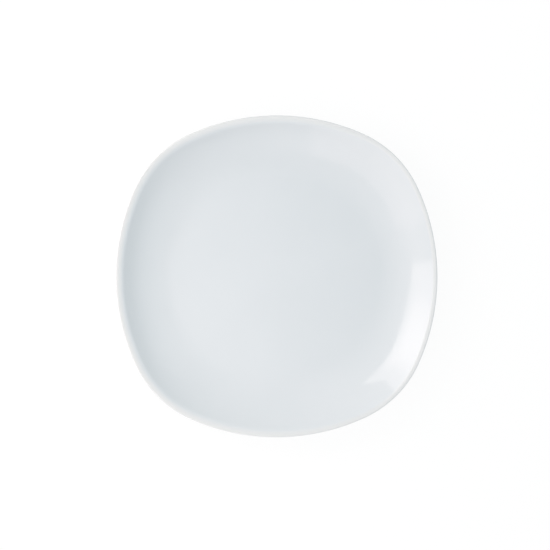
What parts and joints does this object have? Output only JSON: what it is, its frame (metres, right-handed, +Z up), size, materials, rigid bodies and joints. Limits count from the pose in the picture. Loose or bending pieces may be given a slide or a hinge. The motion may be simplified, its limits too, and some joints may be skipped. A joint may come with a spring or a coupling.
{
  "type": "square plate",
  "caption": "Rounded-square glazed porcelain plate with bowed sides, a flat round well, a sloping wall, a rounded lip and a bare foot ring, for serving food.",
  "frame": {"origin": "centre of the foot ring's standing face, on the table", "axes": "+Z up out of the well; X and Y each run from the middle of one side to the middle of the opposite side"},
  "size_m": [0.21, 0.21, 0.022],
  "materials": {
    "porcelain": "matte unglazed porcelain, warm white",
    "glaze": "glossy fired glaze, cool white"
  },
  "bodies": {
    "root": {"porcelain_body": "porcelain", "outer_glaze": "glaze", "foot_well_glaze": "glaze"}
  },
  "joints": []
}
